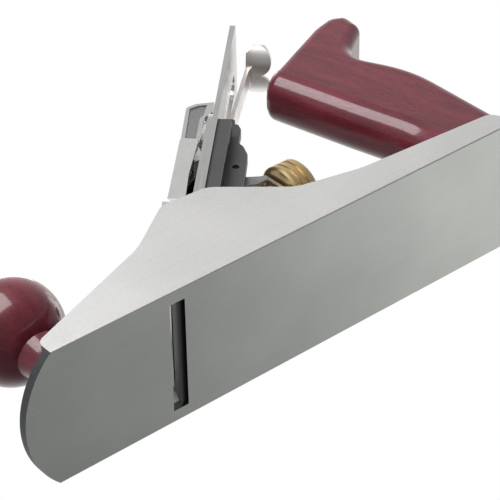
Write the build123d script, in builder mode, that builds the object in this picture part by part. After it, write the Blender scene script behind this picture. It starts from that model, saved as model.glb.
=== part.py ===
"""Bailey-pattern smoothing plane, about No. 4 size, as an assembly of named pieces.

Millimetres, +Z up, sole on z = 0, toe towards -X, left cheek towards -Y.
Side views are drawn from the toe corner of the cheek; everything that lies on
the 45 degree bed is drawn by its distance up the bed and its height off it.
"""
from build123d import *
from math import cos, radians, sin, sqrt, tan
import os

# ---------------------------------------------------------------- body casting
sole_width = 63.0            # across the two ground cheeks
toe_x = -129.25              # toe corner of the cheeks, from the middle of the plane
heel = 240.0                 # heel corner of the cheeks, from the toe corner
toe_bow = 13.6               # how far the toe curve stands out past the corners
heel_bow = 17.0
sole_thick = 4.0
cheek_thick = 3.6
mouth_front = 55.0
mouth_width = 51.8
# ---------------------------------------------------------------- bed and blade
bed_x = 61.7                 # where the 45 degree bed line meets the sole
mouth_relief = 0.7           # from that line back to the rear edge of the mouth
slope = radians(45)
iron_width = 50.0
iron_thick = 2.4
iron_top = 214.5
edge_height = 0.2            # cutting edge above the sole at rest
bevel = radians(25)
slot_width = 11.0
cap_iron_thick = 2.0
cap_iron_top = 143.0
# ------------------------------------------- stations up the bed, from the sole
lever_screw_s = 64.0
cap_screw_s = 86.0
yoke_s = 108.4
roller_s = 124.0
pivot_s = 138.0
cam_s = 118.7
cam_n = 10.2
# ---------------------------------------------------------- frog and its screws
frog_half = 23.5
plate_thick = 6.0
bed_gap = 0.15
web_inner = 11.5
web_outer = 15.5
frog_screw_x = 91.0
frog_screw_y = 13.0
adjuster_z = 9.8
yoke_n = -9.8
# --------------------------------------------------------------- depth wheel
wheel_z = 56.7
wheel_front = 159.4
wheel_radius = 13.9
# ------------------------------------------------------------ knob and tote
knob_x = 18.3
knob_ball_z = 55.6
knob_ball = 22.2
boss_top = 8.0
tote_half = 12.5
tote_pad = 7.0
tote_rod_foot = (246.0, 2.6)
tote_rod_head = (222.0, 125.4)

side = Plane(origin=(toe_x, 0, 0), x_dir=(1, 0, 0), z_dir=(0, -1, 0))
plan = Plane(origin=(toe_x, 0, 0))
bed_face = Plane(
    origin=(toe_x + bed_x, 0, 0),
    x_dir=(cos(slope), 0, sin(slope)),
    z_dir=(-sin(slope), 0, cos(slope)),
)
bed_end = Plane(
    origin=(toe_x + bed_x, 0, 0),
    x_dir=(0, 1, 0),
    z_dir=(cos(slope), 0, sin(slope)),
)


def on_bed(s, n):
    """Side-view point s up the bed line and n off it."""
    return (bed_x + s * cos(slope) - n * sin(slope), s * sin(slope) + n * cos(slope))


def across(x, z):
    """Plane facing along the sole at x from the toe corner, centred at height z."""
    return Plane(origin=(toe_x + x, 0, z), x_dir=(0, 1, 0), z_dir=(1, 0, 0))


def pin_plane(s, n):
    """Side plane centred on a cross pin of the bed."""
    x, z = on_bed(s, n)
    return Plane(origin=(toe_x + x, 0, z), x_dir=(1, 0, 0), z_dir=(0, -1, 0))


os.makedirs("parts", exist_ok=True)

# ======================================================================= body
# One grey-iron casting: sole plate, two ground cheeks, frog seats, knob boss
# and tote pad.  The mouth is cut square in front and at 45 degrees behind.
cheek_outline = [
    ((0, 0), 0), ((0, 8.4), 5), ((64.5, 31.6), 40), ((89.2, 48.6), 9), ((111.5, 47.2), 11),
    ((139, 23.4), 16), ((168, 16.4), 40), ((236.8, 11.4), 6), ((heel, 5.4), 6), ((heel, 0), 0),
]
with BuildPart() as body:
    with BuildSketch(plan):
        with BuildLine():
            Line((0, -sole_width / 2), (heel, -sole_width / 2))
            ThreePointArc((heel, -sole_width / 2), (heel + heel_bow, 0), (heel, sole_width / 2))
            Line((heel, sole_width / 2), (0, sole_width / 2))
            ThreePointArc((0, sole_width / 2), (-toe_bow, 0), (0, -sole_width / 2))
        make_face()
    extrude(amount=sole_thick)
    for face_y in (sole_width / 2, cheek_thick - sole_width / 2):
        with BuildSketch(side.offset(face_y)) as cheek:
            Polygon(*[point for point, _ in cheek_outline], align=None)
            for point, radius in cheek_outline:
                if radius:
                    corner = cheek.vertices().sort_by_distance(Vector(*point))[0]
                    fillet(corner, radius)
        extrude(amount=-cheek_thick)
    # frog seats: low pad behind the mouth, higher pad at the back
    with BuildSketch(side):
        Polygon((72.5, 2), (118, 2), (118, 14), (98, 14), (98, 8), (72.5, 8), align=None)
    extrude(amount=20, both=True)
    # knob boss and tote pad
    with BuildSketch(plan.offset(2)):
        with Locations((knob_x, 0)):
            Circle(13.2)
    extrude(amount=boss_top - 2)
    with BuildSketch(plan.offset(2)):
        with Locations((225.5, 0)):
            SlotOverall(58, 26)
    extrude(amount=tote_pad - 2)
    # low stiffening ribs across the tray, in front of the frog and of the tote
    for rib_x in (44, 158):
        with BuildSketch(plan.offset(2)):
            with Locations((rib_x, 0)):
                Rectangle(3, sole_width - 2)
        extrude(amount=sole_thick)
    # the mouth
    with BuildSketch(side):
        Polygon(
            (mouth_front, -1), (bed_x + mouth_relief, -1), (bed_x + mouth_relief, 0),
            (bed_x + mouth_relief + 7, 7), (mouth_front - 3, 7), (mouth_front, 0), align=None,
        )
    extrude(amount=mouth_width / 2, both=True, mode=Mode.SUBTRACT)
    # tapped holes for the knob rod, the frog screws and the frog adjusting screw
    with Locations(plan.offset(boss_top)):
        with Locations((knob_x, 0)):
            Hole(radius=3, depth=5.5)
    with Locations(plan.offset(8)):
        with Locations((frog_screw_x, frog_screw_y), (frog_screw_x, -frog_screw_y)):
            Hole(radius=2.55, depth=6)
    with BuildSketch(across(118, adjuster_z)):
        Circle(2.5)
    extrude(amount=-18, mode=Mode.SUBTRACT)
    rod_x = (tote_rod_head[0] - tote_rod_foot[0]) / (tote_rod_head[1] - tote_rod_foot[1])
    rod_plane = Plane(
        origin=(toe_x + tote_rod_foot[0], 0, tote_rod_foot[1]),
        x_dir=(0, 1, 0),
        z_dir=(rod_x, 0, 1),
    )
    with BuildSketch(rod_plane):
        Circle(2.75)
    extrude(amount=12, mode=Mode.SUBTRACT)
    sole_edges = body.edges().group_by(Axis.Z)[0].filter_by(GeomType.LINE)
    long_edges = sole_edges.filter_by(Axis.X).sort_by(SortBy.LENGTH)[-2:]
    chamfer(long_edges, 0.4)
body.part.label = "body"
export_step(body.part, "parts/body.step")

# ======================================================================= frog
# Painted casting that carries the blade: a flat 45 degree plate, a low foot on
# the two seats, and two webs behind the plate that carry the yoke pin.
with BuildPart() as frog:
    with BuildSketch(side):
        Polygon(
            (67.4, 5.2), (71.5, 5.2), (71.5, 8.1), (96.5, 8.1), (96.5, 14.1), (122, 14.1),
            (122, 24), (106, 35.8), on_bed(132, -plate_thick), on_bed(133, -plate_thick + 1),
            on_bed(133, -bed_gap), on_bed(7.7, -bed_gap), align=None,
        )
    extrude(amount=frog_half, both=True)
    with BuildSketch(side):
        Polygon(
            on_bed(130, -plate_thick), on_bed(145, -plate_thick), on_bed(146, -plate_thick + 1),
            on_bed(146, -bed_gap), on_bed(130, -bed_gap), align=None,
        )
    extrude(amount=web_outer, both=True)
    for face_y in (web_outer, -web_inner):
        with BuildSketch(side.offset(face_y)) as web:
            Polygon(
                on_bed(142, -5.5), on_bed(142, -7.6), on_bed(138, -9.3), on_bed(127, -9.3),
                on_bed(124.5, -11.5), on_bed(118, -14), on_bed(74, -14.6), (122, 22),
                (106, 28), on_bed(60, -5.5), align=None,
            )
            for s, n, radius in ((142, -7.6, 1.5), (138, -9.3, 3), (118, -14, 6)):
                corner = web.vertices().sort_by_distance(Vector(*on_bed(s, n)))[0]
                fillet(corner, radius)
        extrude(amount=-(web_outer - web_inner))
    # rib between the webs that takes the depth stud
    with BuildSketch(side):
        Polygon((124, 50), (139, 50), (139, 63), (131, 63), align=None)
    extrude(amount=web_inner + 0.5, both=True)
    # boss behind the plate for the lever-cap screw
    with BuildSketch(bed_face.offset(-15)):
        with Locations((lever_screw_s, 0)):
            Circle(7)
    extrude(amount=12)
    # pockets and slots for the two frog screws
    with BuildSketch(plan.offset(18)):
        with Locations((frog_screw_x, frog_screw_y), (frog_screw_x, -frog_screw_y)):
            Circle(6.9)
    extrude(amount=30, mode=Mode.SUBTRACT)
    with BuildSketch(plan):
        with Locations((frog_screw_x, frog_screw_y), (frog_screw_x, -frog_screw_y)):
            Circle(3.8)
    extrude(amount=20, mode=Mode.SUBTRACT)
    # tapped hole of the lever-cap screw
    with BuildSketch(bed_face.offset(-13)):
        with Locations((lever_screw_s, 0)):
            Circle(3)
    extrude(amount=14, mode=Mode.SUBTRACT)
    # pocket for the cap-iron screw head
    with BuildSketch(bed_face.offset(-3.6)):
        with Locations((cap_screw_s, 0)):
            SlotOverall(18.6, 16)
    extrude(amount=4, mode=Mode.SUBTRACT)
    # slot for the tip of the yoke
    with BuildSketch(bed_face.offset(-8)):
        with Locations((yoke_s, 0)):
            Rectangle(9, 10)
    extrude(amount=9, mode=Mode.SUBTRACT)
    # shallow pocket for the lateral lever, open at the top
    with BuildSketch(bed_face.offset(-2.6)):
        with Locations(((roller_s - 7 + 150) / 2, 0)):
            Rectangle(150 - roller_s + 7, 15)
    extrude(amount=3, mode=Mode.SUBTRACT)
    with BuildSketch(bed_face.offset(-plate_thick - 1)):
        with Locations((pivot_s, 0)):
            Circle(2.4)
    extrude(amount=8, mode=Mode.SUBTRACT)
    # yoke-pin hole right through both webs
    with BuildSketch(pin_plane(yoke_s, yoke_n)):
        Circle(1.7)
    extrude(amount=20, both=True, mode=Mode.SUBTRACT)
    # tapped holes of the depth stud and of the clip screw
    with BuildSketch(across(139, wheel_z)):
        Circle(3)
    extrude(amount=-9, mode=Mode.SUBTRACT)
    with BuildSketch(across(122, 19.2)):
        Circle(1.75)
    extrude(amount=-8, mode=Mode.SUBTRACT)
frog.part.label = "frog"
export_step(frog.part, "parts/frog.step")


# ================================================================ frog screws
# Two slotted screws hold the frog down on the seats, over washers.
screw_spots = [(frog_screw_x, frog_screw_y), (frog_screw_x, -frog_screw_y)]
with BuildPart() as frog_screws:
    with BuildSketch(plan.offset(2.2)):
        with Locations(*screw_spots):
            Circle(2.5)
    extrude(amount=17.4)
    with BuildSketch(plan.offset(19.3)):
        with Locations(*screw_spots):
            Circle(4.5)
    extrude(amount=3)
    with BuildSketch(plan.offset(20.8)):
        with Locations(*screw_spots):
            Rectangle(10, 1.2)
    extrude(amount=2, mode=Mode.SUBTRACT)
frog_screws.part.label = "frog_screws"
export_step(frog_screws.part, "parts/frog_screws.step")

with BuildPart() as frog_washers:
    with BuildSketch(plan.offset(18.1)):
        with Locations(*screw_spots):
            Circle(5.5)
            Circle(2.6, mode=Mode.SUBTRACT)
    extrude(amount=1.2)
frog_washers.part.label = "frog_washers"
export_step(frog_washers.part, "parts/frog_washers.step")

# ====================================================== frog adjusting screw
# Threads into the back seat; its groove is held by the clip on the frog.
with BuildPart() as frog_adjusting_screw:
    with BuildSketch(side):
        with BuildLine():
            Polyline(
                (102.5, adjuster_z), (102.5, adjuster_z + 1.8), (103.1, adjuster_z + 2.45),
                (121.6, adjuster_z + 2.45), (121.6, adjuster_z + 1.7), (124.2, adjuster_z + 1.7),
                (124.2, adjuster_z + 4.2), (127.6, adjuster_z + 4.2), (128.4, adjuster_z + 3.4),
                (128.4, adjuster_z), close=True,
            )
        make_face()
    revolve(axis=Axis((toe_x, 0, adjuster_z), (1, 0, 0)))
    with BuildSketch(across(127, adjuster_z)):
        Rectangle(1.2, 10)
    extrude(amount=3, mode=Mode.SUBTRACT)
frog_adjusting_screw.part.label = "frog_adjusting_screw"
export_step(frog_adjusting_screw.part, "parts/frog_adjusting_screw.step")

with BuildPart() as frog_clip:
    with BuildSketch(across(122, 0)):
        with Locations((0, 16)):
            Rectangle(11, 15.6)
        with Locations((0, 8)):
            Rectangle(4.2, 3.6, mode=Mode.SUBTRACT)
        with Locations((0, adjuster_z)):
            Circle(2.1, mode=Mode.SUBTRACT)
        with Locations((0, 19.2)):
            Circle(1.8, mode=Mode.SUBTRACT)
    extrude(amount=1.6)
frog_clip.part.label = "frog_clip"
export_step(frog_clip.part, "parts/frog_clip.step")

with BuildPart() as frog_clip_screw:
    with BuildSketch(across(115, 19.2)):
        Circle(1.7)
    extrude(amount=9)
    with BuildSketch(across(123.6, 19.2)):
        Circle(3.4)
    extrude(amount=2)
    with BuildSketch(across(124.8, 19.2)):
        Rectangle(8, 0.9)
    extrude(amount=1, mode=Mode.SUBTRACT)
frog_clip_screw.part.label = "frog_clip_screw"
export_step(frog_clip_screw.part, "parts/frog_clip_screw.step")

# ============================================================== cutting iron
# Flat tool-steel blade, bevel down, long slot for the screws that pass it.
edge_s = edge_height / sin(slope) - iron_thick
with BuildPart() as cutting_iron:
    with BuildSketch(bed_face) as iron_plan:
        with BuildLine():
            Line((edge_s, -iron_width / 2), (iron_top - 2, -iron_width / 2))
            ThreePointArc((iron_top - 2, -iron_width / 2), (iron_top, 0), (iron_top - 2, iron_width / 2))
            Line((iron_top - 2, iron_width / 2), (edge_s, iron_width / 2))
            Line((edge_s, iron_width / 2), (edge_s, -iron_width / 2))
        make_face()
        fillet(iron_plan.vertices().group_by(Axis.X)[-1], 1.6)
        with Locations(((50 + 198) / 2, 0)):
            SlotOverall(198 - 50 + slot_width, slot_width, mode=Mode.SUBTRACT)
        with Locations((50, 0)):
            Circle(9, mode=Mode.SUBTRACT)
    extrude(amount=iron_thick)
    with BuildSketch(side):
        Polygon(
            on_bed(edge_s, iron_thick), on_bed(edge_s + iron_thick / tan(bevel), 0),
            on_bed(edge_s, -1), on_bed(edge_s - 2, -1), on_bed(edge_s - 2, iron_thick), align=None,
        )
    extrude(amount=iron_width, both=True, mode=Mode.SUBTRACT)
cutting_iron.part.label = "cutting_iron"
export_step(cutting_iron.part, "parts/cutting_iron.step")

# ================================================================== cap iron
# Chip breaker: touches the blade only at its arched front edge.
with BuildPart() as cap_iron:
    with BuildSketch(side):
        with BuildLine():
            Line(on_bed(-0.4, iron_thick), on_bed(0.4, iron_thick))
            ThreePointArc(
                on_bed(0.4, iron_thick), on_bed(10, iron_thick + 1.5), on_bed(21, iron_thick)
            )
            Line(on_bed(21, iron_thick), on_bed(cap_iron_top, iron_thick))
            Line(on_bed(cap_iron_top, iron_thick), on_bed(cap_iron_top, 4.4))
            Line(on_bed(cap_iron_top, 4.4), on_bed(22, 4.4))
            ThreePointArc(on_bed(22, 4.4), on_bed(11, 6), on_bed(-0.4, iron_thick))
        make_face()
    extrude(amount=iron_width / 2 - 0.1, both=True)
    end_edges = cap_iron.edges().filter_by(lambda e: abs(e.length - cap_iron_thick) < 0.01)
    fillet(end_edges.sort_by(Axis.Z)[-2:], 12)
    with BuildSketch(bed_face):
        with Locations((lever_screw_s, 0)):
            SlotOverall(22, 13)
        with Locations((yoke_s, 0)):
            Rectangle(5.4, 9)
        with Locations((cap_screw_s, 0)):
            Circle(3.9)
    extrude(amount=8, mode=Mode.SUBTRACT)
cap_iron.part.label = "cap_iron"
export_step(cap_iron.part, "parts/cap_iron.step")

with BuildPart() as cap_iron_screw:
    with BuildSketch(bed_face.offset(-2.8)):
        with Locations((cap_screw_s, 0)):
            Circle(7)
    extrude(amount=2.8)
    with BuildSketch(bed_face.offset(-0.2)):
        with Locations((cap_screw_s, 0)):
            Circle(3.8)
    extrude(amount=5)
    with BuildSketch(bed_face.offset(-2.8)):
        with Locations((cap_screw_s, 0)):
            Rectangle(15, 1.4)
    extrude(amount=1.2, mode=Mode.SUBTRACT)
cap_iron_screw.part.label = "cap_iron_screw"
export_step(cap_iron_screw.part, "parts/cap_iron_screw.step")

# ================================================================= lever cap
# Plated iron casting, hollow underneath: a wide lip part, shoulders, and a
# narrow neck that ends in two ears for the cam pin.
with BuildPart() as lever_cap:
    with BuildSketch(side):
        with BuildLine():
            Polyline(
                on_bed(9.5, 6.3), on_bed(10.5, 8.6), on_bed(40, 13.4), on_bed(66, 16.2),
                on_bed(80, 15.6), on_bed(122.5, 15.6), on_bed(124, 14.1), on_bed(123.6, 7.6),
                on_bed(96, 8.8), on_bed(78, 8.2), on_bed(40, 7.6), on_bed(14, 6.3), close=True,
            )
        make_face()
    extrude(amount=iron_width / 2, both=True)
    with BuildSketch(bed_face) as cap_plan:
        Polygon(
            (0, -25), (67, -25), (77, -19), (130, -19), (130, 19), (77, 19), (67, 25), (0, 25),
            align=None,
        )
        fillet(cap_plan.vertices().filter_by_position(Axis.X, 60, 80), 3)
    extrude(amount=20, mode=Mode.INTERSECT)
    # hollow under the face
    with BuildSketch(side):
        Polygon(
            on_bed(24, 6), on_bed(24, 8.4), on_bed(40, 10.6), on_bed(66, 13.2), on_bed(80, 12.6),
            on_bed(105, 12.6), on_bed(105, 6), align=None,
        )
    extrude(amount=15.5, both=True, mode=Mode.SUBTRACT)
    with BuildSketch(side):
        Polygon(
            on_bed(24, 6), on_bed(24, 8.4), on_bed(40, 10.6), on_bed(64, 13), on_bed(64, 6),
            align=None,
        )
    extrude(amount=21.5, both=True, mode=Mode.SUBTRACT)
    # gap between the ears, cross hole for the cam pin, keyhole for the screw
    with BuildSketch(bed_face):
        with Locations((102 + 15, 0)):
            Rectangle(26, 31)
        with Locations((lever_screw_s - 5, 0)):
            SlotOverall(19, 8)
        with Locations((lever_screw_s - 12, 0)):
            Circle(8)
    extrude(amount=20, mode=Mode.SUBTRACT)
    with BuildSketch(pin_plane(cam_s, cam_n)):
        Circle(1.75)
    extrude(amount=20, both=True, mode=Mode.SUBTRACT)
lever_cap.part.label = "lever_cap"
export_step(lever_cap.part, "parts/lever_cap.step")

with BuildPart() as cam_pin:
    with BuildSketch(pin_plane(cam_s, cam_n)):
        Circle(1.7)
    extrude(amount=19, both=True)
cam_pin.part.label = "cam_pin"
export_step(cam_pin.part, "parts/cam_pin.step")

# Cam lever: cast thumb lever, hollow towards the blade, eccentric at the pin.
with BuildPart() as cam_lever:
    with BuildSketch(side) as lever_side:
        Polygon(
            on_bed(117, 15), on_bed(126, 16.4), on_bed(158.4, 17), on_bed(161.6, 13),
            on_bed(163.8, 5), on_bed(155.4, 5), on_bed(150.5, 8), on_bed(133, 8.7),
            on_bed(127, 8.2), on_bed(121, 5.9), on_bed(116.7, 6.3), on_bed(114.7, 9),
            on_bed(114.4, 12.4), align=None,
        )
        rounds = ((158.4, 17, 3), (126, 16.4, 8), (117, 15, 3), (116.7, 6.3, 2), (150.5, 8, 5))
        for s, n, radius in rounds:
            corner = lever_side.vertices().sort_by_distance(Vector(*on_bed(s, n)))[0]
            fillet(corner, radius)
    extrude(amount=13, both=True)
    with BuildSketch(side):
        Polygon(
            on_bed(129, 4), on_bed(129, 13.8), on_bed(157, 14.8), on_bed(160, 12), on_bed(162, 4),
            align=None,
        )
    extrude(amount=11, both=True, mode=Mode.SUBTRACT)
    with BuildSketch(pin_plane(cam_s, cam_n)):
        Circle(1.78)
    extrude(amount=20, both=True, mode=Mode.SUBTRACT)
    # shallow panel sunk in each side, inside a bright rim
    for face_y in (13, -12.3):
        with BuildSketch(side.offset(face_y)):
            Polygon(
                on_bed(126, 10), on_bed(127, 14.6), on_bed(157.4, 15.4), on_bed(160.2, 12),
                on_bed(161.2, 8), on_bed(152.6, 8.6), on_bed(149.6, 10), align=None,
            )
        extrude(amount=-0.7, mode=Mode.SUBTRACT)
cam_lever.part.label = "cam_lever"
export_step(cam_lever.part, "parts/cam_lever.step")

# Flat spring riveted under the lever cap; the cam bears on its free end.
with BuildPart() as lever_cap_spring:
    with BuildSketch(side):
        Polygon(
            on_bed(81, 12.6), on_bed(94, 12.6), on_bed(112, 5.7), on_bed(125, 5.5),
            on_bed(125, 4.8), on_bed(111.8, 4.9), on_bed(93.8, 11.8), on_bed(81, 11.8), align=None,
        )
    extrude(amount=11, both=True)
    with BuildSketch(bed_face.offset(11)):
        with Locations((88, 0)):
            Circle(2)
    extrude(amount=3, mode=Mode.SUBTRACT)
lever_cap_spring.part.label = "lever_cap_spring"
export_step(lever_cap_spring.part, "parts/lever_cap_spring.step")

with BuildPart() as spring_rivet:
    with BuildSketch(bed_face.offset(11)):
        with Locations((88, 0)):
            Circle(3.2)
    extrude(amount=0.8)
    with BuildSketch(bed_face.offset(11.4)):
        with Locations((88, 0)):
            Circle(1.95)
    extrude(amount=1.2)
spring_rivet.part.label = "spring_rivet"
export_step(spring_rivet.part, "parts/spring_rivet.step")

# Screw that the keyhole of the lever cap hooks under.
with BuildPart() as lever_cap_screw:
    with BuildSketch(bed_face.offset(-12)):
        with Locations((lever_screw_s, 0)):
            Circle(2.95)
    extrude(amount=30)
    with BuildSketch(bed_face.offset(16.8)):
        with Locations((lever_screw_s, 0)):
            Circle(7)
    extrude(amount=3.6)
    head_rim = lever_cap_screw.edges().filter_by(GeomType.CIRCLE).sort_by(Axis.Z)[-1]
    fillet(head_rim, 2)
    with BuildSketch(bed_face.offset(19)):
        with Locations((lever_screw_s, 0)):
            Rectangle(16, 1.4)
    extrude(amount=3, mode=Mode.SUBTRACT)
lever_cap_screw.part.label = "lever_cap_screw"
export_step(lever_cap_screw.part, "parts/lever_cap_screw.step")

# ============================================================= lateral lever
# Pressed steel lever behind the blade.  The strap lies in the frog pocket and
# leans back above it; the thumb piece on top is a saddle of two round leaves.
with BuildPart() as lateral_lever:
    with BuildSketch(bed_face.offset(-4.6)):
        with BuildLine():
            ThreePointArc((215.5, -12.8), (209, 0), (215.5, 12.8))
            Line((215.5, 12.8), (217, 12))
            ThreePointArc((217, 12), (210.6, 0), (217, -12))
            Line((217, -12), (215.5, -12.8))
        make_face()
    extrude(amount=-12)
    with BuildSketch(bed_end.offset(200)):
        with Locations((6.2, -10), (-6.2, -10)):
            Circle(6.4)
        with Locations((0, -6.6)):
            RectangleRounded(21, 9, 4.4)
    extrude(amount=30, mode=Mode.INTERSECT)
    with BuildSketch(side):
        Polygon(
            on_bed(roller_s - 5, -0.45), on_bed(150, -0.45), on_bed(207, -4.6), on_bed(211, -6),
            on_bed(209.6, -7.6), on_bed(206, -6.4), on_bed(150, -2.25), on_bed(roller_s - 5, -2.25),
            align=None,
        )
    extrude(amount=4.5, both=True)
    foot = lateral_lever.edges().filter_by(lambda e: abs(e.length - 1.8) < 0.01)
    fillet(foot.sort_by(Axis.Z)[:2], 4.2)
    with BuildSketch(bed_face.offset(-4)):
        with Locations((pivot_s, 0)):
            Circle(2.45)
        with Locations((roller_s, 0)):
            Circle(1.5)
    extrude(amount=6, mode=Mode.SUBTRACT)
lateral_lever.part.label = "lateral_lever"
export_step(lateral_lever.part, "parts/lateral_lever.step")

with BuildPart() as lateral_rivet:
    with BuildSketch(bed_face.offset(-plate_thick - 0.6)):
        with Locations((pivot_s, 0)):
            Circle(2.4)
    extrude(amount=plate_thick + 0.3)
    with BuildSketch(bed_face.offset(-plate_thick - 1.2)):
        with Locations((pivot_s, 0)):
            Circle(3.4)
    extrude(amount=1.2)
lateral_rivet.part.label = "lateral_rivet"
export_step(lateral_rivet.part, "parts/lateral_rivet.step")

with BuildPart() as lateral_roller:
    with BuildSketch(bed_face.offset(-0.4)):
        with Locations((roller_s, 0)):
            Circle(4.5)
            Circle(1.5, mode=Mode.SUBTRACT)
    extrude(amount=2.3)
lateral_roller.part.label = "lateral_roller"
export_step(lateral_roller.part, "parts/lateral_roller.step")

with BuildPart() as roller_stud:
    with BuildSketch(bed_face.offset(-2.25)):
        with Locations((roller_s, 0)):
            Circle(1.45)
    extrude(amount=4.3)
roller_stud.part.label = "roller_stud"
export_step(roller_stud.part, "parts/roller_stud.step")

# ======================================================================= yoke
# Bell crank on the cross pin: its tip pushes the cap iron through the frog, its
# fork rides in the groove of the depth wheel.
fork_x = wheel_front - 2.1
with BuildPart() as yoke:
    with BuildSketch(pin_plane(yoke_s, yoke_n)):
        Circle(3.8)
    extrude(amount=web_inner - 0.4, both=True)
    with BuildSketch(side):
        Polygon(
            on_bed(yoke_s - 2, yoke_n), on_bed(yoke_s + 2, yoke_n), on_bed(yoke_s + 2, 3.4),
            on_bed(yoke_s + 1.2, 4.2), on_bed(yoke_s - 1.2, 4.2), on_bed(yoke_s - 2, 3.4), align=None,
        )
    extrude(amount=3.8, both=True)
    with BuildSketch(side):
        Polygon(
            (142.6, 67), (151, 62.6), (fork_x - 0.8, 62.6), (fork_x - 0.8, 53),
            (fork_x + 0.8, 53), (fork_x + 0.8, 65.4), (155.6, 66.4), (147.6, 72.4), align=None,
        )
    extrude(amount=7.8, both=True)
    with BuildSketch(side):
        Polygon((149, 50), (170, 50), (170, 80), (149, 80), align=None)
    extrude(amount=5.2, both=True, mode=Mode.SUBTRACT)
    with BuildSketch(pin_plane(yoke_s, yoke_n)):
        Circle(1.76)
    extrude(amount=20, both=True, mode=Mode.SUBTRACT)
yoke.part.label = "yoke"
export_step(yoke.part, "parts/yoke.step")

with BuildPart() as yoke_pin:
    with BuildSketch(pin_plane(yoke_s, yoke_n)):
        Circle(1.7)
    extrude(amount=web_outer - 1.5, both=True)
yoke_pin.part.label = "yoke_pin"
export_step(yoke_pin.part, "parts/yoke_pin.step")

# =============================================================== depth wheel
# Turned brass: small collar, groove for the yoke fork, then the knurled disc
# with two narrow grooves round its rim.
with BuildPart() as depth_wheel:
    rim_z = wheel_z + wheel_radius
    with BuildSketch(side):
        with BuildLine():
            Polyline(
                (wheel_front - 5.6, wheel_z + 3.02), (wheel_front - 5.6, wheel_z + 6.6),
                (wheel_front - 5, wheel_z + 7.2), (wheel_front - 4.2, wheel_z + 7.2),
                (wheel_front - 4.2, wheel_z + 4.6), (wheel_front, wheel_z + 4.6),
                (wheel_front, rim_z - 1), (wheel_front + 0.9, rim_z),
                (wheel_front + 3, rim_z), (wheel_front + 3, rim_z - 1.3),
                (wheel_front + 3.9, rim_z - 1.3), (wheel_front + 3.9, rim_z),
                (wheel_front + 6.6, rim_z), (wheel_front + 6.6, rim_z - 1.3),
                (wheel_front + 7.5, rim_z - 1.3), (wheel_front + 7.5, rim_z),
                (wheel_front + 10.1, rim_z), (wheel_front + 11, rim_z - 0.9),
                (wheel_front + 11, wheel_z + 3.02), close=True,
            )
        make_face()
    revolve(axis=Axis((toe_x, 0, wheel_z), (1, 0, 0)))
    with BuildSketch(across(wheel_front, wheel_z)):
        with PolarLocations(wheel_radius + 0.2, 90):
            Circle(0.4)
    extrude(amount=12, mode=Mode.SUBTRACT)
depth_wheel.part.label = "depth_wheel"
export_step(depth_wheel.part, "parts/depth_wheel.step")

with BuildPart() as depth_stud:
    with BuildSketch(across(131, wheel_z)):
        Circle(2.95)
    extrude(amount=43)
    chamfer(depth_stud.edges().filter_by(GeomType.CIRCLE).sort_by(Axis.X)[-1], 0.6)
depth_stud.part.label = "depth_stud"
export_step(depth_stud.part, "parts/depth_stud.step")

# ======================================================================= knob
# Turned hardwood: bead at the foot, waist, big ball, flat dished for the nut.
neck_z = 36
neck = sqrt(knob_ball**2 - (knob_ball_z - neck_z)**2)
flat_edge = sqrt(knob_ball**2 - (75.9 - knob_ball_z)**2)
with BuildPart() as knob:
    with BuildSketch(side):
        with BuildLine():
            Line((knob_x, boss_top), (knob_x + 13, boss_top))
            Line((knob_x + 13, boss_top), (knob_x + 13, boss_top + 0.6))
            ThreePointArc(
                (knob_x + 13, boss_top + 0.6), (knob_x + 14.6, boss_top + 2.8),
                (knob_x + 13, boss_top + 5),
            )
            ThreePointArc((knob_x + 13, boss_top + 5), (knob_x + 9.8, 23), (knob_x + neck, neck_z))
            ThreePointArc(
                (knob_x + neck, neck_z), (knob_x + knob_ball, knob_ball_z), (knob_x + flat_edge, 75.9)
            )
            Line((knob_x + flat_edge, 75.9), (knob_x, 75.9))
            Line((knob_x, 75.9), (knob_x, boss_top))
        make_face()
        with Locations((knob_x, 75.9)):
            Rectangle(13, 3.6, mode=Mode.SUBTRACT)
        with Locations((knob_x, 40)):
            Rectangle(6.6, 80, mode=Mode.SUBTRACT)
    revolve(axis=Axis((toe_x + knob_x, 0, 0), (0, 0, 1)))
knob.part.label = "knob"
export_step(knob.part, "parts/knob.step")

with BuildPart() as knob_bolt:
    with BuildSketch(plan.offset(2.8)):
        with Locations((knob_x, 0)):
            Circle(2.9)
    extrude(amount=71)
knob_bolt.part.label = "knob_bolt"
export_step(knob_bolt.part, "parts/knob_bolt.step")

with BuildPart() as knob_nut:
    with BuildSketch(plan.offset(74.1)):
        with Locations((knob_x, 0)):
            Circle(6.2)
    extrude(amount=2.8)
    fillet(knob_nut.edges().group_by(Axis.Z)[-1], 1)
    with BuildSketch(plan.offset(64)):
        with Locations((knob_x, 0)):
            Circle(3.25)
            Circle(2.95, mode=Mode.SUBTRACT)
    extrude(amount=10.2)
    with BuildSketch(plan.offset(75.7)):
        with Locations((knob_x, 0)):
            Rectangle(14, 1.4)
    extrude(amount=2, mode=Mode.SUBTRACT)
knob_nut.part.label = "knob_nut"
export_step(knob_nut.part, "parts/knob_nut.step")

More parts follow.
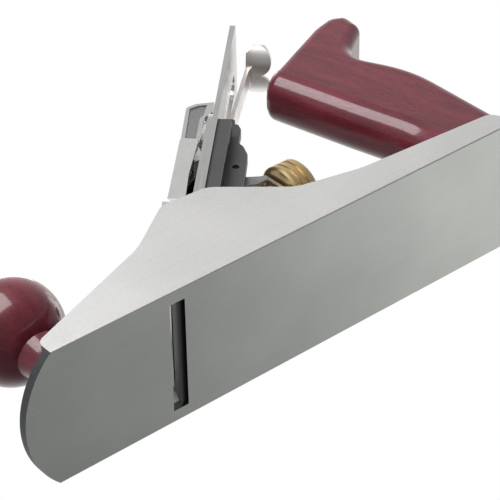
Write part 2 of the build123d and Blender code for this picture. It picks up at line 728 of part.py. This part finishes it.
# ======================================================================= tote
# Rear handle: flat sides, rounded front for the fingers, horn over the web of
# the hand, foot on the pad.  The rod runs down through the grip.
tote_outline = [
    ((196.5, tote_pad), 0), ((253.5, tote_pad), 0), ((262.5, 24), 22), ((262.5, 84), 60),
    ((247.5, 113.5), 12), ((271, 129.5), 5), ((272.5, 141), 5), ((264, 145.5), 9),
    ((252, 142.6), 30), ((203.2, 120.6), 0), ((214, 77.5), 80), ((223.2, 44), 30),
    ((217.5, 24.5), 16), ((196.5, 14), 0),
]
with BuildPart() as tote:
    with BuildSketch(side) as tote_side:
        Polygon(*[point for point, _ in tote_outline], align=None)
        for point, radius in tote_outline:
            if radius:
                fillet(tote_side.vertices().sort_by_distance(Vector(*point))[0], radius)
    extrude(amount=tote_half, both=True)
    # full round where the fingers lie, a smaller one round the back and the horn
    rims = tote.edges().filter_by(lambda e: abs(abs(e.center().Y) - tote_half) < 0.01)
    grip = [e for e in rims if e.center().X < toe_x + 226 and 14 < e.center().Z < 119]
    fillet(grip, 11)
    rims = tote.edges().filter_by(lambda e: abs(abs(e.center().Y) - tote_half) < 0.01)
    back = [e for e in rims if e.center().X > toe_x + 226 and e.center().Z > tote_pad + 0.01]
    crown = [e for e in rims if e.center().X <= toe_x + 226 and e.center().Z > 120]
    fillet(back + crown, 5.5)
    # rod hole and the counterbore of the nut
    with BuildSketch(rod_plane):
        Circle(3.3)
    extrude(amount=140, mode=Mode.SUBTRACT)
    with BuildSketch(rod_plane.offset(123.4)):
        Circle(6.6)
    extrude(amount=20, mode=Mode.SUBTRACT)
tote.part.label = "tote"
export_step(tote.part, "parts/tote.step")

with BuildPart() as tote_bolt:
    with BuildSketch(rod_plane.offset(1)):
        Circle(2.65)
    extrude(amount=123)
tote_bolt.part.label = "tote_bolt"
export_step(tote_bolt.part, "parts/tote_bolt.step")

with BuildPart() as tote_nut:
    with BuildSketch(rod_plane.offset(123.4)):
        Circle(6.3)
    extrude(amount=3.4)
    fillet(tote_nut.edges().group_by(Axis.Z)[-1], 1)
    with BuildSketch(rod_plane.offset(113.2)):
        Circle(3.2)
    extrude(amount=10.4)
    with BuildSketch(rod_plane.offset(112.2)):
        Circle(2.75)
    extrude(amount=12.2, mode=Mode.SUBTRACT)
    with BuildSketch(rod_plane.offset(125.6)):
        Rectangle(14, 1.4)
    extrude(amount=3, mode=Mode.SUBTRACT)
tote_nut.part.label = "tote_nut"
export_step(tote_nut.part, "parts/tote_nut.step")
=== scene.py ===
# %% [markdown]
# # A metal hand plane, finished for looking at
#
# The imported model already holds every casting, screw and blade of the plane at
# its real size.  What is left is what the eye reads as "metal" and "lacquer":
# ground lines, plating, turned brass, grain under varnish, and softly worn
# edges.  We load the model once, and never move or reshape what came with it.

# %% Load the model
from math import radians

import bmesh
import bpy
from mathutils import Matrix, Vector


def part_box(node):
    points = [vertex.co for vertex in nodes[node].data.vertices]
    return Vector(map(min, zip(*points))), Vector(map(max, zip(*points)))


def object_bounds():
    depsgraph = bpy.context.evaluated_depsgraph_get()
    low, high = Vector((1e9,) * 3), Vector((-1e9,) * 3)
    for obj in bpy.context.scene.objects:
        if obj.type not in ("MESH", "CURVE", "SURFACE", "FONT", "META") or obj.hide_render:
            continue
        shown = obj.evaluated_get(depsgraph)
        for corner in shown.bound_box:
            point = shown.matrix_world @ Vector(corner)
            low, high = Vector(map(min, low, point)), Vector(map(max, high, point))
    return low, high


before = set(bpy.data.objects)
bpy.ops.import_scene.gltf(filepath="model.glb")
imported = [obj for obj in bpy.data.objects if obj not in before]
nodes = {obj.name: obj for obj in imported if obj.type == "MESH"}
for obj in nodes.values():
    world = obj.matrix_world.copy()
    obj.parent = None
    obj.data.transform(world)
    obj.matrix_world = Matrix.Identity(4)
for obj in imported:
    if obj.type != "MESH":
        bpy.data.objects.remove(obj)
cad_low, cad_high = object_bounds()
overall = [round(high - low, 4) for low, high in zip(cad_low, cad_high)]
print("plane", overall, "m,", len(nodes), "nodes")

# %% [markdown]
# ## Where things are
#
# The sole lies on z = 0 and the toe points along -X.  A few places are needed by
# the finishes and the camera: half the sole's width, the corner of the toe, and
# the axes of the depth wheel and the knob.  They are read from the boxes of the
# pieces, so the finishes stay on them if the model is ever changed.

# %% Places
body_low, body_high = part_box("body")
wheel_low, wheel_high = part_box("depth_wheel")
knob_low, knob_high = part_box("knob")
half_width = body_high[1]
wheel_axis_z = (wheel_low[2] + wheel_high[2]) / 2
knob_axis_x = (knob_low[0] + knob_high[0]) / 2
knob_from_toe = 0.0183
toe_corner = knob_axis_x - knob_from_toe
print("half width", round(half_width, 4), "toe corner", round(toe_corner, 4))
print("wheel axis at z", round(wheel_axis_z, 4), "knob axis at x", round(knob_axis_x, 4))

# %% [markdown]
# ## The camera
#
# The plane is seen from below its toe, so that the sole and the left cheek both
# face us.  A long lens from under a metre keeps the sole's edges nearly parallel
# but lets the toe grow a little.  The camera's matrix is written from its three
# directions, because the plane is rolled in the view: its cheek is uppermost.

# %% Camera
camera_data = bpy.data.cameras.new("camera")
camera_data.lens = 158.4
camera_data.sensor_width = 36
camera_data.clip_start = 0.01
camera = bpy.data.objects.new("camera", camera_data)
bpy.context.collection.objects.link(camera)
camera_right = Vector((0.76653649, 0.01471507, -0.64203214))
camera_up = Vector((0.38157154, -0.81456981, 0.43689723))
camera_back = camera_right.cross(camera_up)
camera_place = Vector((toe_corner - 0.344393, -0.526488, -0.535912))
turned = Matrix((camera_right, camera_up, camera_back)).transposed().to_4x4()
camera.matrix_world = Matrix.Translation(camera_place) @ turned
bpy.context.scene.camera = camera
print("camera is", round((camera_place - Vector((0, 0, 0.03))).length, 3), "m away")

# %% [markdown]
# ## Shader maths
#
# A material is a graph, but its thinking is arithmetic.  `Shade` wraps one socket
# and turns + - * / into Math nodes, so a worn edge can be written as a formula.
# `Finish` is one material: its `node` method makes any other node from its type,
# settings and inputs, and `colour` mixes two colours, which plain maths can't.

# %% Shade and Finish
class Shade:
    def __init__(self, finish, socket):
        self.finish = finish
        self.socket = socket

    def maths(self, operation, *others, clamp=False):
        inputs = dict(enumerate((self, *others)))
        return self.finish.node("ShaderNodeMath", {"operation": operation, "use_clamp": clamp}, inputs, 0)

    def __add__(self, other):
        return self.maths("ADD", other)

    __radd__ = __add__

    def __mul__(self, other):
        return self.maths("MULTIPLY", other)

    __rmul__ = __mul__

    def __sub__(self, other):
        return self.maths("SUBTRACT", other)

    def __rsub__(self, other):
        return self.maths("MULTIPLY_ADD", -1.0, other)

    def __truediv__(self, other):
        return self.maths("DIVIDE", other)

    def size(self):
        return self.maths("ABSOLUTE")

    def step(self, low, high):
        """0 below low, 1 above high, smooth between; low may be the larger."""
        inputs = {"Value": self, "From Min": low, "From Max": high}
        settings = {"interpolation_type": "SMOOTHSTEP"}
        return self.finish.node("ShaderNodeMapRange", settings, inputs, 0)


class Finish:
    def __init__(self, name, metallic, roughness):
        self.material = bpy.data.materials.new(name)
        self.material.use_nodes = True
        self.tree = self.material.node_tree
        self.shader = self.tree.nodes["Principled BSDF"]
        self.set("Metallic", metallic)
        self.set("Roughness", roughness)

    def set(self, name, value):
        self.feed(self.shader.inputs[name], value)

    def feed(self, socket, value):
        if isinstance(value, Shade):
            self.tree.links.new(value.socket, socket)
        else:
            socket.default_value = value

    def node(self, kind, settings, inputs, output):
        made = self.tree.nodes.new(kind)
        for key, value in settings.items():
            setattr(made, key, value)
        for key, value in inputs.items():
            self.feed(made.inputs[key], value)
        return Shade(self, made.outputs[output])

    def place(self, scale=(1, 1, 1), turn=(0, 0, 0), move=(0, 0, 0)):
        """Object coordinates, moved, then turned and stretched for a pattern."""
        spot = self.node("ShaderNodeTexCoord", {}, {}, "Object")
        moved = self.node("ShaderNodeVectorMath", {"operation": "ADD"}, {0: spot, 1: move}, 0)
        turned = self.node("ShaderNodeMapping", {}, {"Vector": moved, "Rotation": turn}, 0)
        return self.node("ShaderNodeVectorMath", {"operation": "MULTIPLY"}, {0: turned, 1: scale}, 0)

    def axis(self, vector, name):
        return self.node("ShaderNodeSeparateXYZ", {}, {0: vector}, name)

    def noise(self, vector, scale, detail=3.0, roughness=0.5):
        inputs = {"Vector": vector, "Scale": scale, "Detail": detail, "Roughness": roughness}
        return self.node("ShaderNodeTexNoise", {"noise_dimensions": "3D"}, inputs, 0)

    def colour(self, amount, first, second):
        inputs = {0: amount, 6: first, 7: second}
        return self.node("ShaderNodeMix", {"data_type": "RGBA"}, inputs, 2)

    def blend(self, amount, first, second):
        inputs = {0: amount, 2: first, 3: second}
        return self.node("ShaderNodeMix", {"data_type": "FLOAT"}, inputs, 0)

    def bump(self, height, depth, strength=1.0):
        inputs = {"Height": height, "Distance": depth, "Strength": strength}
        self.set("Normal", self.node("ShaderNodeBump", {}, inputs, 0))

    def worn(self, width=0.0006):
        """1 on corners and edges, 0 on open faces."""
        soft = self.node("ShaderNodeBevel", {"samples": 4}, {"Radius": width}, 0)
        straight = self.node("ShaderNodeNewGeometry", {}, {}, "Normal")
        both = {0: soft, 1: straight}
        match = self.node("ShaderNodeVectorMath", {"operation": "DOT_PRODUCT"}, both, "Value")
        return match.step(0.995, 0.9)


def grey(value, warm=0.0):
    return (value * (1 + warm), value, value * (1 - warm), 1)


def dress(finish, *names):
    """Puts the finish on pieces that came with the model."""
    for name in names:
        mesh = nodes[name].data
        mesh.materials.clear()
        mesh.materials.append(finish.material)
    print(finish.material.name, "on", ", ".join(names))


# %% [markdown]
# ## Ground iron
#
# The body is one grey-iron casting.  The sole and the cheeks are surface-ground:
# a wheel has passed lengthwise and left lines a few hundredths of a millimetre
# apart, over the faint mottle of the iron's own grain.  Everything the grinder
# can't reach, the tray and the curved toe, keeps its dark casting paint.  One
# material does both: a mask made from position says which is which.

# %% Body
body_iron = Finish("ground_iron", 0.9, 0.4)
spot = body_iron.place()
x = body_iron.axis(spot, "X")
y = body_iron.axis(spot, "Y").size()
z = body_iron.axis(spot, "Z")
cheek_thick = 0.0036
sole = z.step(0.00012, 0.00004)
cheeks = y.step(half_width - 0.00025, half_width - 0.00015)
rims = y.step(half_width - cheek_thick - 0.0001, half_width - cheek_thick + 0.0001)
between_ends = x.step(toe_corner + 0.0001, toe_corner + 0.0003)
ground = sole.maths("MAXIMUM", rims * between_ends)
lines = body_iron.noise(body_iron.place(scale=(9, 2600, 2600)), 1.0, 4, 0.6)
slanted = body_iron.noise(body_iron.place(scale=(90, 2600, 2600), turn=(0, 0, 0.5)), 1.0, 2, 0.5)
mottle = body_iron.noise(spot, 1500, 3, 0.7)
cloud = body_iron.noise(spot, 22, 2, 0.5)
tone = lines * 0.25 + mottle * 0.35 + cloud * 0.3 + slanted * 0.1
uneven = tone.step(0.25, 0.75)
cheek_tone = body_iron.colour(uneven, grey(0.6, 0.008), grey(0.78, 0.008))
# The sole gets a darker, greener copy of the cheeks' ground-iron colour: the darkness is painted shade of
# the face turned away from the lamps.
shaded_sole_tone = body_iron.colour(uneven, (0.45, 0.47, 0.44, 1), (0.62, 0.64, 0.605, 1))
bright = body_iron.colour(cheeks, shaded_sole_tone, cheek_tone)
skin = body_iron.noise(spot, 420, 4, 0.6)
paint = body_iron.colour(skin, grey(0.022, -0.06), grey(0.05, -0.05))
body_iron.set("Base Color", body_iron.colour(ground, paint, bright))
body_iron.set("Metallic", ground * 0.92)
ground_rough = lines * 0.08 + mottle * 0.12 + 0.34
body_iron.set("Roughness", body_iron.blend(ground, skin * 0.25 + 0.36, ground_rough))
relief = body_iron.blend(ground, skin * 0.00012, lines * 0.000005 + mottle * 0.000005)
body_iron.bump(relief, 1.0)
dress(body_iron, "body")

# %% [markdown]
# ## Casting paint
#
# The frog is dipped in a satin dark grey paint.  Paint on a rough casting has a
# soft orange-peel, pools a little in the hollows and thins on the corners, where
# the iron shines through.

# %% Frog
frog_paint = Finish("frog_paint", 0.0, 0.42)
peel = frog_paint.noise(frog_paint.place(), 520, 4, 0.55)
patch = frog_paint.noise(frog_paint.place(), 60, 3, 0.5)
rub = frog_paint.worn(0.0005) * patch.step(0.35, 0.6)
coat = frog_paint.colour(peel * 0.5 + patch * 0.5, grey(0.03, -0.03), grey(0.075, -0.03))
frog_paint.set("Base Color", frog_paint.colour(rub * 0.6, coat, grey(0.34)))
frog_paint.set("Metallic", rub * 0.6)
frog_paint.set("Roughness", 0.28 + peel * 0.25)
frog_paint.bump(peel, 0.00008, 0.7)
dress(frog_paint, "frog")

# %% [markdown]
# ## Blade steel
#
# The cutting iron and the cap iron are flat-ground tool steel.  Their lines run
# along the blade, so the pattern is turned by the 45 degrees of the bed first:
# after the turn its X runs up the blade.  Low down, where the blade goes into the
# mouth, it is painted dark and matt: partly oil, partly painted shade of the throat.

# %% Blade and cap iron
bed_turn = (0, radians(45), 0)
blade_steel = Finish("blade_steel", 1.0, 0.25)
along = blade_steel.noise(blade_steel.place(scale=(25, 1300, 1300), turn=bed_turn), 1.0, 4, 0.6)
cloud = blade_steel.noise(blade_steel.place(), 45, 3, 0.5)
steel_tone = blade_steel.colour(along, grey(0.5, 0.01), grey(0.74, 0.01))
# Low on the blade the colour is painted dark and non-metallic: partly oil, partly painted shade of the
# throat.
mouth_oil_and_shade = blade_steel.axis(blade_steel.place(), "Z").step(0.028, 0.012)
blade_steel.set("Base Color", blade_steel.colour(mouth_oil_and_shade, steel_tone, grey(0.03)))
blade_steel.set("Metallic", 1.0 - mouth_oil_and_shade)
blade_steel.set("Roughness", 0.16 + along * 0.16 + cloud * 0.08 + mouth_oil_and_shade * 0.4)
blade_steel.bump(along, 0.00001, 0.8)
dress(blade_steel, "cutting_iron", "cap_iron")

# %% [markdown]
# ## Bright plating
#
# The lever cap, its pin and its screw are polished and plated.  The polish leaves
# a slow ripple in the reflections and hair-fine scratches, not a mirror.

# %% Plated pieces
plating = Finish("bright_plating", 1.0, 0.14)
ripple = plating.noise(plating.place(), 130, 2, 0.4)
scratch = plating.noise(plating.place(scale=(60, 2200, 900), turn=bed_turn), 1.0, 2, 0.5)
plating.set("Base Color", plating.colour(ripple, grey(0.86, 0.005), grey(0.94, 0.01)))
plating.set("Roughness", 0.1 + scratch * 0.14 + ripple * 0.05)
plating.bump(ripple * 0.00006 + scratch * 0.000004, 1.0)
dress(plating, "lever_cap", "cam_pin", "lever_cap_screw")

# %% [markdown]
# The cam lever is the same plating over a coarser casting.  Its two side panels sit
# sunk inside a bright rim: pebbled and rough as unpolished casting, and grey as painted shade of the
# recess.

# %% Cam lever
lever_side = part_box("cam_lever")[1][1]
plating_with_panel_shade = Finish("plating_with_panel_shade", 1.0, 0.2)
side_y = plating_with_panel_shade.axis(plating_with_panel_shade.place(), "Y").size()
panel = side_y.step(lever_side - 0.0003, lever_side - 0.0005)
flank = side_y.step(lever_side - 0.0012, lever_side - 0.0009)
sunk = panel * flank
pebble = plating_with_panel_shade.noise(plating_with_panel_shade.place(), 900, 3, 0.6)
# The sunk side panels get a dark grey base colour: painted shade of the recess.
panel_painted_shade = plating_with_panel_shade.colour(pebble, grey(0.2), grey(0.36))
shiny = plating_with_panel_shade.colour(pebble, grey(0.74, 0.005), grey(0.84, 0.01))
plating_with_panel_shade.set("Base Color", plating_with_panel_shade.colour(sunk, shiny, panel_painted_shade))
plating_with_panel_shade.set("Roughness", plating_with_panel_shade.blend(sunk, 0.14 + pebble * 0.05, 0.42 + pebble * 0.2))
plating_with_panel_shade.bump(sunk * pebble, 0.00006)
dress(plating_with_panel_shade, "cam_lever")

# %% [markdown]
# ## Warm nickel
#
# The lateral lever is a nickel-plated pressing: yellower than the lever cap,
# with a blurred shine and a little tarnish where fingers hold it.

# %% Lateral lever
nickel = Finish("warm_nickel", 1.0, 0.2)
tarnish = nickel.noise(nickel.place(), 170, 4, 0.6)
drawn = nickel.noise(nickel.place(scale=(80, 1500, 1500), turn=bed_turn), 1.0, 2, 0.5)
nickel.set("Base Color", nickel.colour(tarnish.step(0.35, 0.75), grey(0.94, 0.02), grey(0.8, 0.06)))
nickel.set("Roughness", 0.24 + tarnish * 0.2 + drawn * 0.06)
nickel.bump(tarnish, 0.00003, 0.5)
dress(nickel, "lateral_lever")

# %% [markdown]
# ## Turned brass
#
# The depth wheel came off a lathe, so its marks are rings about its own axis.
# Distance from that axis, fed to a noise with nothing else, draws such rings.

# %% Depth wheel and nuts
def turned_brass(name, centre, flat):
    """Brass with tool rings about the axis through centre; flat drops that axis."""
    brass = Finish(name, 1.0, 0.2)
    off_axis = brass.place(scale=flat, move=centre)
    radius = brass.node("ShaderNodeVectorMath", {"operation": "LENGTH"}, {0: off_axis}, "Value")
    ring_spot = brass.node("ShaderNodeCombineXYZ", {}, {0: radius}, 0)
    rings = brass.noise(ring_spot, 5200, 2, 0.5)
    tone = brass.noise(brass.place(), 210, 3, 0.6)
    yellow = brass.colour(tone, (0.72, 0.52, 0.26, 1), (0.92, 0.74, 0.44, 1))
    brass.set("Base Color", yellow)
    brass.set("Roughness", 0.22 + rings * 0.16 + tone * 0.08)
    brass.bump(rings, 0.00001, 0.8)
    return brass


wheel_brass = turned_brass("wheel_brass", (0, 0, -wheel_axis_z), (0, 1, 1))
dress(wheel_brass, "depth_wheel")
nut_brass = turned_brass("nut_brass", (-knob_axis_x, 0, 0), (1, 1, 0))
dress(nut_brass, "knob_nut", "tote_nut")

# %% [markdown]
# ## Plain and spring steel
#
# Screws, pins and washers are plain machined steel with an oily dark patina in
# places.  The spring under the lever cap is darker, blued by its hardening.

# %% Small steel
def plain_steel(name, dark, light, warm):
    steel = Finish(name, 1.0, 0.3)
    stain = steel.noise(steel.place(), 320, 4, 0.6)
    fine = steel.noise(steel.place(), 2400, 2, 0.5)
    steel.set("Base Color", steel.colour(stain, grey(dark, warm), grey(light, warm)))
    steel.set("Roughness", 0.2 + stain * 0.2 + fine * 0.08)
    steel.bump(fine, 0.000012, 0.6)
    return steel


screw_steel = plain_steel("screw_steel", 0.22, 0.5, 0.01)
dress(
    screw_steel, "frog_screws", "frog_washers", "frog_adjusting_screw", "frog_clip",
    "frog_clip_screw", "cap_iron_screw", "spring_rivet", "lateral_rivet", "lateral_roller",
    "roller_stud", "yoke", "yoke_pin", "depth_stud", "knob_bolt", "tote_bolt",
)
spring_steel = plain_steel("spring_steel", 0.07, 0.2, 0.06)
dress(spring_steel, "lever_cap_spring")

# %% [markdown]
# ## Lacquered hardwood
#
# Knob and tote are close-grained hardwood, stained burgundy and sprayed with a
# thick gloss lacquer.  Under the clear coat the grain shows as fine dark pores
# along the wood's length, and the lacquer has sunk into them a little, so the
# reflections are broken by the same lines.  The grain runs up the knob and along
# the tote's grip, so the two get their own turn of one recipe.

# %% Knob and tote
def lacquer(name, turn):
    wood = Finish(name, 0.0, 0.4)
    growth = wood.noise(wood.place(scale=(1, 1, 0.12), turn=turn), 220, 3, 0.55)
    pores = wood.noise(wood.place(scale=(1, 1, 0.1), turn=turn), 2600, 2, 0.6)
    fibre = wood.noise(wood.place(scale=(1, 1, 0.3), turn=turn), 1500, 3, 0.65)
    pebble = wood.noise(wood.place(), 650, 2, 0.5)
    cloud = wood.noise(wood.place(), 30, 2, 0.5)
    dark_pore = pores.step(0.54, 0.68)
    stain_depth = growth * 0.45 + cloud * 0.2 + fibre * 0.35
    deep, pale_red = (0.085, 0.008, 0.014, 1), (0.19, 0.022, 0.04, 1)
    stain = wood.colour(stain_depth.step(0.3, 0.7), deep, pale_red)
    wood.set("Base Color", wood.colour(dark_pore * 0.5, stain, (0.05, 0.004, 0.007, 1)))
    wood.set("Roughness", 0.4 + dark_pore * 0.2)
    wood.set("Specular IOR Level", 0.2)
    wood.set("Coat Weight", 0.85)
    wood.set("Coat Roughness", 0.11)
    wood.set("Coat IOR", 1.45)
    dents = fibre * 0.00002 + pebble * 0.00002 - dark_pore * 0.00003
    wood.bump(growth * 0.00003 + dents, 1.0)
    return wood


knob_lacquer = lacquer("knob_lacquer", (0, 0, 0))
dress(knob_lacquer, "knob")
tote_lacquer = lacquer("tote_lacquer", (0, radians(15), 0))
dress(tote_lacquer, "tote")

# %% [markdown]
# ## Studio
#
# A pale floor under the sole, a wide soft lamp beside the left cheek, one above
# and a weak one low behind the heel, which makes the sole lighter towards the
# heel.  The surroundings are pale, and dimmer on the side the toe is seen from, so
# the metal has something darker to reflect.  The floor is seen only from above, and
# it stops no light, because the view from under the toe looks up through it.

# %% Floor
floor_mesh = bmesh.new()
bmesh.ops.create_grid(floor_mesh, x_segments=1, y_segments=1, size=4.0)
bmesh.ops.translate(floor_mesh, vec=(0, 0, -0.0006), verts=floor_mesh.verts)
floor_data = bpy.data.meshes.new("floor")
floor_mesh.to_mesh(floor_data)
floor_mesh.free()
floor = bpy.data.objects.new("floor", floor_data)
bpy.context.collection.objects.link(floor)
pale = Finish("pale_floor", 0.0, 0.7)
pale.set("Base Color", pale.colour(pale.noise(pale.place(), 40, 3), grey(0.8), grey(0.84)))
seen = pale.node("ShaderNodeNewGeometry", {}, {}, "Backfacing")
clear = pale.node("ShaderNodeBsdfTransparent", {}, {}, 0)
solid = Shade(pale, pale.shader.outputs[0])
one_sided = pale.node("ShaderNodeMixShader", {}, {0: seen, 1: solid, 2: clear}, 0)
pale.feed(pale.tree.nodes["Material Output"].inputs["Surface"], one_sided)
floor_data.materials.append(pale.material)
floor.visible_diffuse = False
floor.visible_glossy = False
floor.visible_transmission = False
floor.visible_shadow = False
print("floor", floor.dimensions[:])


# %% Lamps and surroundings
def soft_lamp(name, place, target, size, power):
    lamp_data = bpy.data.lights.new(name, "AREA")
    lamp_data.shape = "SQUARE"
    lamp_data.size = size
    lamp_data.energy = power
    lamp = bpy.data.objects.new(name, lamp_data)
    lamp.location = place
    aim = Vector(target) - Vector(place)
    lamp.rotation_euler = aim.to_track_quat("-Z", "Y").to_euler()
    bpy.context.collection.objects.link(lamp)
    print(name, power, "W at", round(aim.length, 2), "m")


soft_lamp("side_lamp", (-0.35, -1.3, 0.5), (0, 0, 0.03), 1.0, 22)
soft_lamp("top_lamp", (0.3, 0.4, 1.5), (0, 0, 0.03), 1.2, 10)
soft_lamp("heel_lamp", (1.2, 0.6, -0.6), (0.1, 0, 0.0), 0.9, 4)

world = bpy.data.worlds.new("surroundings")
world.use_nodes = True
bpy.context.scene.world = world
world_tree = world.node_tree
sky = world_tree.nodes["Background"]
sky.inputs["Color"].default_value = (1, 1, 1, 1)
direction = world_tree.nodes.new("ShaderNodeTexCoord")


def glow(towards, low, high, dim, full):
    """Strength dim where the direction leans away from towards, full where it faces it."""
    lean = world_tree.nodes.new("ShaderNodeVectorMath")
    lean.operation = "DOT_PRODUCT"
    lean.inputs[1].default_value = towards
    world_tree.links.new(direction.outputs["Generated"], lean.inputs[0])
    rise = world_tree.nodes.new("ShaderNodeMapRange")
    rise.interpolation_type = "SMOOTHSTEP"
    for name, value in (("From Min", low), ("From Max", high), ("To Min", dim), ("To Max", full)):
        rise.inputs[name].default_value = value
    world_tree.links.new(lean.outputs["Value"], rise.inputs["Value"])
    return rise.outputs[0]


strength = world_tree.nodes.new("ShaderNodeMath")
strength.operation = "MULTIPLY"
upwards = (0, 0, 1)
past_the_heel = (0.52, 0.58, 0.62)
world_tree.links.new(glow(upwards, -0.35, 0.1, 0.5, 1.0), strength.inputs[0])
world_tree.links.new(glow(past_the_heel, 0.2, 0.95, 0.5, 1.0), strength.inputs[1])
world_tree.links.new(strength.outputs[0], sky.inputs["Strength"])
bpy.context.scene.view_settings.view_transform = "Standard"
